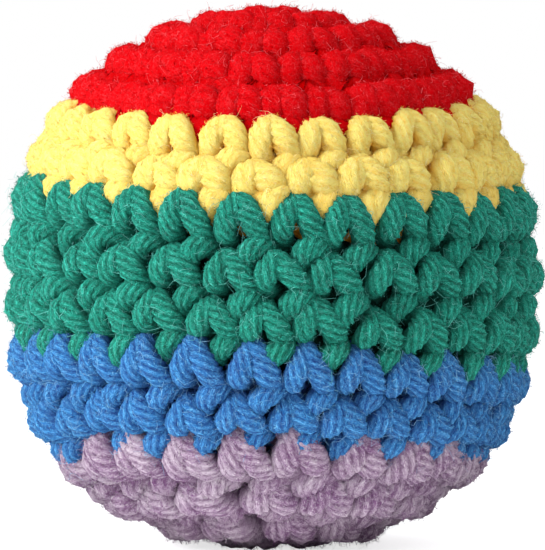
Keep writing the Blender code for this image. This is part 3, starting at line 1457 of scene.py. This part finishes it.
@dataclass
class CrochetedBag:
    """The crocheted bag: every round of every yarn, with its fuzz.

    Attributes:
        form: The bag's form.
        rounds: The pattern.
        stitch: The yarn's route through a stitch.
        yarn: How the yarn is plied.
        fuzz: Its loose fibres.
        finishes: The colours, from the crown down.
        fill: How full the bag is.
        seed: Of what is irregular in the stitches.
    """

    form: BagForm
    rounds: Rounds
    stitch: SingleCrochet
    yarn: PliedYarn
    fuzz: Fuzz
    finishes: tuple[YarnFinish, ...]
    fill: float = 0.75
    seed: int = 11

    def build(self) -> None:
        """Works every round and reports each piece."""
        plied, hairy = self.yarn.pattern(), self.fuzz.pattern()
        fibre = WoolEffects().group(self.form.base_depth)
        for number, finish in enumerate(self.finishes):
            material, fuzz_material = finish.material(fibre), finish.fuzz_material(fibre)
            for order, index in enumerate(self.rounds.of_yarn(number)):
                name = f"{finish.slot}_round_{order + 1}"
                piece = self._work_round(plied, index, name, finish, material)
                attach(piece, BODY)
                if order == 0:
                    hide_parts(finish.slot)
                report(piece)
                hairs = self._raise_fuzz(hairy, piece, index, finish, fuzz_material)
                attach(hairs, BODY)
                report(hairs)

    def _work_round(
        self,
        plied: Pattern,
        index: int,
        name: str,
        finish: YarnFinish,
        material: bpy.types.Material,
    ) -> bpy.types.Object:
        """Lays the yarn of one round.

        Args:
            plied: The tree that plies the yarn.
            index: Which round.
            name: The piece's name.
            finish: The yarn.
            material: The yarn's material.

        Returns:
            The piece.
        """
        rng = np.random.default_rng(self.seed + index)
        line = self.stitch.centre_line(self.form, self.rounds, index, finish, rng)
        piece = plied.apply(
            route_mesh(line, name),
            name,
            thickness=self.stitch.thickness,
            plies=self.yarn.plies,
            ply_depth=finish.ply_depth,
            turn_length=self.yarn.turn_length * self.yarn.ply.value,
            centre_height=self.form.base_depth,
            material=material,
        )
        rest_on_floor(piece.data)
        return piece

    def _raise_fuzz(
        self,
        hairy: Pattern,
        yarn: bpy.types.Object,
        index: int,
        finish: YarnFinish,
        material: bpy.types.Material,
    ) -> bpy.types.Object:
        """Raises the hairs of one round from the part of its yarn that shows.

        Args:
            hairy: The tree that raises them.
            yarn: The round's yarn.
            index: Which round.
            finish: The yarn's finish.
            material: The hairs' material.

        Returns:
            The piece.
        """
        piece = hairy.apply(
            yarn.data,
            yarn.name + "_fuzz",
            fibres=finish.fibres,
            fibre_length=finish.fibre_length,
            tangle=finish.tangle,
            fluff=finish.fluff,
            strays=finish.strays,
            stray_length=finish.stray_length,
            thickness=self.fuzz.thickness,
            seed=self.fuzz.seed + index,
            material=material,
        )
        rest_on_floor(piece.data)
        return piece


@dataclass
class PelletFilling:
    """The loose pellets, which show as dark shapes in the holes between stitches.

    Attributes:
        form: The bag's form.
        finish: The pellets' plastic.
        pellet: Across one pellet.
        depth: How deep the middles of the outer pellets lie.
        closeness: The least distance between two of them, in pellets.
        crowding: How many are tried on a square metre.
        seed: Of where they lie.
    """

    form: BagForm
    finish: PelletFinish
    pellet: float = 0.0040
    depth: float = 0.0062
    closeness: float = 0.86
    crowding: float = 400000.0
    seed: int = 3

    def build(self) -> None:
        """Lays the outer pellets and dresses the body of the filling beneath them."""
        material = self.finish.material()
        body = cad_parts["pellet_fill"]
        body.data.materials.clear()
        body.data.materials.append(material)
        piece = self._pattern().apply(
            self._host(), "outer_pellets", pellet=self.pellet, seed=self.seed, material=material
        )
        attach(piece, BODY)
        report(piece)

    def _pattern(self) -> Pattern:
        """Builds the tree that scatters pellets over a surface, none deep inside another.

        Returns:
            The tree.
        """
        made = Pattern("pellets", pellet=float, seed=int, material=bpy.types.Material)
        graph, given = made.graph, made.given
        inputs: Inputs = {
            "Mesh": given["Geometry"],
            "Distance Min": graph.times(given["pellet"], self.closeness),
            "Density Max": self.crowding,
            "Seed": given["seed"],
        }
        settings = {"distribute_method": "POISSON"}
        points = graph.out("GeometryNodeDistributePointsOnFaces", inputs, **settings)
        radius = graph.math("DIVIDE", given["pellet"], 2.0)
        ball = graph.out("GeometryNodeMeshIcoSphere", {"Radius": radius, "Subdivisions": 2})
        inputs = {"Points": points, "Instance": ball}
        made.end(graph.out("GeometryNodeInstanceOnPoints", inputs))
        return made

    def _host(self) -> bpy.types.Mesh:
        """Makes the surface that the outer pellets' middles lie on.

        Returns:
            Its mesh.
        """
        host = bpy.data.meshes.new("pellet_centres")
        shape = bmesh.new()
        bmesh.ops.create_icosphere(shape, subdivisions=4, radius=1)
        shape.to_mesh(host)
        shape.free()
        x, y, z = read_points(host).T
        latitude = np.arcsin(np.clip(z, -1, 1))
        distance = self.form.reach(latitude) - self.depth
        places = self.form.at(latitude, np.arctan2(y, x), distance)
        places[:, 2] = np.maximum(places[:, 2], self.depth)
        host.vertices.foreach_set("co", places.ravel())
        return host


@dataclass(frozen=True)
class Lamp:
    """A soft square lamp.

    Attributes:
        name: What to call it.
        place: Its middle.
        size: The length of its sides.
        power: In watts.
        target: What it faces, or the bag if nothing is named.
    """

    name: str
    place: Place
    size: float
    power: float
    target: Place | None = None


@dataclass
class Studio:
    """The white sweep, the soft lights and the camera of a product photograph.

    Attributes:
        focus_height: The height of the bag's middle, which the camera and the lamps face.
        distance: From there to the camera.
        elevation: How far the camera looks down, in degrees.
        view_width: What the picture shows from side to side, at the bag.
        sensor: The camera's, in millimetres.
        floor_tone: How pale the floor's paper is.
        floor_roughness: How dull it is.
        floor_shine: How much light it reflects as gloss.
        floor_lift: How much it is brightened where the camera sees it.
        floor_radius: How far the floor reaches.
        sky: How strong the light from all round is.
        lamps: The lamps.
    """

    focus_height: float = 0.0277
    distance: float = 0.42
    elevation: float = 1.0
    view_width: float = 0.0561
    sensor: float = 36.0
    floor_tone: float = 0.93
    floor_roughness: float = 0.9
    floor_shine: float = 0.1
    floor_lift: float = 0.72
    floor_radius: float = 4.0
    sky: float = 0.42
    lamps: tuple[Lamp, ...] = (
        Lamp("key", (-0.45, -0.23, 0.27), 0.24, 3.75),
        Lamp("fill", (0.36, -0.36, 0.32), 0.40, 0.85),
        Lamp("top", (0.0, 0.05, 0.50), 0.36, 0.75),
        # the light that pale paper throws up under the bag
        Lamp("bounce", (0.0, -0.036, 0.001), 0.045, 0.004, target=(0.0, -0.03, 1.0)),
    )

    def build(self) -> None:
        """Sets up the floor, the world, the lights and the camera."""
        self._floor()
        self._world()
        for lamp in self.lamps:
            self._hang(lamp)
        self._camera()
        bpy.context.scene.view_settings.view_transform = "Standard"

    def _floor(self) -> None:
        """Lays a pale floor, which keeps the bag's shadow."""
        mesh = bpy.data.meshes.new("floor")
        shape = bmesh.new()
        bmesh.ops.create_circle(shape, cap_ends=True, segments=64, radius=self.floor_radius)
        shape.to_mesh(mesh)
        shape.free()
        floor = placed("floor", mesh)
        material, graph = new_material("floor_paper")
        path = graph.add("ShaderNodeLightPath", {}).outputs
        seen = graph.times(path["Is Camera Ray"], self.floor_lift)
        graph.surface(
            Base_Color=(self.floor_tone, self.floor_tone, self.floor_tone, 1),
            Roughness=self.floor_roughness,
            Specular_IOR_Level=self.floor_shine,
            Emission_Color=graph.out("ShaderNodeCombineColor", {0: seen, 1: seen, 2: seen}),
            Emission_Strength=1.0,
        )
        floor.data.materials.append(material)

    def _world(self) -> None:
        """Lights all round, and shows pure white where the camera looks past the floor."""
        world = bpy.data.worlds.new("studio")
        bpy.context.scene.world = world
        world.use_nodes = True
        graph = Graph(world.node_tree)
        path = graph.add("ShaderNodeLightPath", {}).outputs
        seen = graph.math("MAXIMUM", path["Is Camera Ray"], path["Is Glossy Ray"])
        seen = graph.math("MAXIMUM", seen, path["Is Transmission Ray"])
        strength = graph.plus(self.sky, graph.times(seen, 1 - self.sky))
        inputs: Inputs = {"Color": (1, 1, 1, 1), "Strength": strength}
        sky = graph.out("ShaderNodeBackground", inputs)
        graph.add("ShaderNodeOutputWorld", {"Surface": sky})

    def _hang(self, lamp: Lamp) -> None:
        """Hangs one lamp.

        Args:
            lamp: The lamp.
        """
        light = bpy.data.lights.new(lamp.name, "AREA")
        light.size, light.energy = lamp.size, lamp.power
        hung = placed(lamp.name, light)
        hung.location = lamp.place
        facing = Vector(lamp.target or (0, 0, self.focus_height)) - hung.location
        hung.rotation_euler = facing.to_track_quat("-Z", "Y").to_euler()
        hung.visible_camera = False

    def _camera(self) -> None:
        """Sets the camera level with the bag's middle, and far enough away to flatten it."""
        camera = bpy.data.cameras.new("camera")
        camera.sensor_width = self.sensor
        camera.lens = self.sensor * self.distance / self.view_width
        eye = placed("camera", camera)
        turn, focus = radians(self.elevation), Vector((0, 0, self.focus_height))
        eye.location = focus + Vector((0, -cos(turn), sin(turn))) * self.distance
        eye.rotation_euler = (focus - eye.location).to_track_quat("-Z", "Y").to_euler()
        bpy.context.scene.camera = eye


def read_points(mesh: bpy.types.Mesh) -> np.ndarray:
    """Reads a mesh's points, as one row of x, y and z for each.

    Args:
        mesh: The mesh.

    Returns:
        The rows.
    """
    places = np.empty(len(mesh.vertices) * 3)
    mesh.vertices.foreach_get("co", places)
    return places.reshape(-1, 3)


def route_mesh(line: dict[str, np.ndarray], name: str) -> bpy.types.Mesh:
    """Lays a line of edges along a yarn's route.

    Args:
        line: The route's points, and how sunk and how swollen the yarn is at each.
        name: The name of the yarn's piece.

    Returns:
        The line, with those values on its points.
    """
    count = len(line["points"])
    mesh = bpy.data.meshes.new(name + "_route")
    mesh.from_pydata(line["points"].tolist(), [(i, i + 1) for i in range(count - 1)], [])
    for key in ("sunk", "swell"):
        mesh.attributes.new(key, "FLOAT", "POINT").data.foreach_set("value", line[key])
    return mesh


def rest_on_floor(mesh: bpy.types.Mesh) -> None:
    """Presses flat whatever would pass the floor.

    Args:
        mesh: The piece's mesh.
    """
    places = read_points(mesh)
    places[:, 2] = np.maximum(places[:, 2], 0)
    mesh.vertices.foreach_set("co", places.ravel())


def report(piece: bpy.types.Object) -> None:
    """Logs a piece with the number of its triangles."""
    triangles = sum(len(face.vertices) - 2 for face in piece.data.polygons)
    LOG.info("%s: %d triangles", piece.name, triangles)


def yarn_finishes() -> tuple[YarnFinish, ...]:
    """Mixes the yarns' dyes with their painted highlights and painted shade, and says how loosely
    each is spun.

    Returns:
        The finishes, from the crown down.
    """
    red = YarnFinish(
        slot="red_crown",
        colour=(0.60, 0.002, 0.005),
        light=(0.76, 0.012, 0.020),
        shade=(0.47, 0.0005, 0.001),
        deep=(0.48, 0.0, 0.0005),
        fuzz=(1.0, 0.08, 0.10),
        hair=(1.0, 0.18, 0.21),
        dark=(0.45, 0.0, 0.0005),
        curls=0.12,
        ply_depth=0.05,
        tangle=1.1,
        fluff=0.00022,
        plump=1.38,
        strays=0.34e6,
        stray_length=0.0009,
        fibre_contrast=0.4,
        fullness=0.85,
        shine=0.0,
        sheen=0.0,
        relief=0.30,
        softness=0.50,
        ridge=0.24,
    )
    yellow = YarnFinish(
        slot="yellow_band",
        colour=(0.87, 0.73, 0.18),
        light=(0.92, 0.87, 0.33),
        shade=(0.87, 0.59, 0.09),
        deep=(0.94, 0.46, 0.04),
        fuzz=(1.0, 0.93, 0.55),
        hair=(1.0, 0.93, 0.60),
        dark=(0.85, 0.30, 0.02),
        curls=0.20,
        flanks=0.9,
        ply_depth=0.08,
        tangle=0.8,
        fluff=0.00012,
        plump=1.26,
        stray_length=0.0009,
        fibre_contrast=0.50,
        fullness=0.75,
        shine=0.05,
        sheen=0.1,
        relief=0.42,
        softness=0.55,
        slim=0.23,
    )
    green = YarnFinish(
        slot="green_band",
        colour=(0.005, 0.230, 0.155),
        light=(0.040, 0.60, 0.46),
        shade=(0.001, 0.095, 0.060),
        deep=(0.0005, 0.028, 0.018),
        fuzz=(0.20, 0.95, 0.80),
        hair=(0.24, 0.80, 0.72),
        dark=(0.004, 0.030, 0.022),
        flanks=0.65,
        ply_depth=0.13,
        fibres=8.4e6,
        tangle=1.1,
        fluff=0.00026,
        strays=0.34e6,
        stray_length=0.0013,
        fibre_contrast=0.92,
    )
    blue = replace(
        green,
        slot="blue_band",
        colour=(0.019, 0.178, 0.49),
        light=(0.14, 0.52, 0.93),
        shade=(0.016, 0.062, 0.30),
        deep=(0.010, 0.018, 0.14),
        fuzz=(0.34, 0.78, 1.0),
        hair=(0.36, 0.72, 1.0),
        dark=(0.006, 0.020, 0.060),
    )
    purple = YarnFinish(
        slot="purple_base",
        colour=(0.50, 0.39, 0.49),
        light=(0.68, 0.60, 0.67),
        shade=(0.18, 0.055, 0.19),
        deep=(0.10, 0.04, 0.10),
        fuzz=(0.86, 0.80, 0.84),
        hair=(0.86, 0.80, 0.84),
        dark=(0.04, 0.018, 0.04),
        curls=0.25,
        mottle=1.0,
        patches=300.0,
        fibres=9.0e6,
        tangle=1.35,
        fluff=0.00030,
        plump=1.22,
        strays=0.34e6,
        fullness=0.65,
        relief=0.35,
        softness=0.4,
    )
    return red, yellow, green, blue, purple


def main() -> None:
    """Builds the footbag and its studio."""
    logging.basicConfig(level=logging.INFO, format="%(name)s: %(message)s")
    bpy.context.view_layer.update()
    form = BagForm()
    PelletFilling(form, PelletFinish()).build()
    parts = (Rounds(), SingleCrochet(), PliedYarn(), Fuzz(), yarn_finishes())
    CrochetedBag(form, *parts).build()
    Studio().build()


if __name__ == "__main__":
    main()
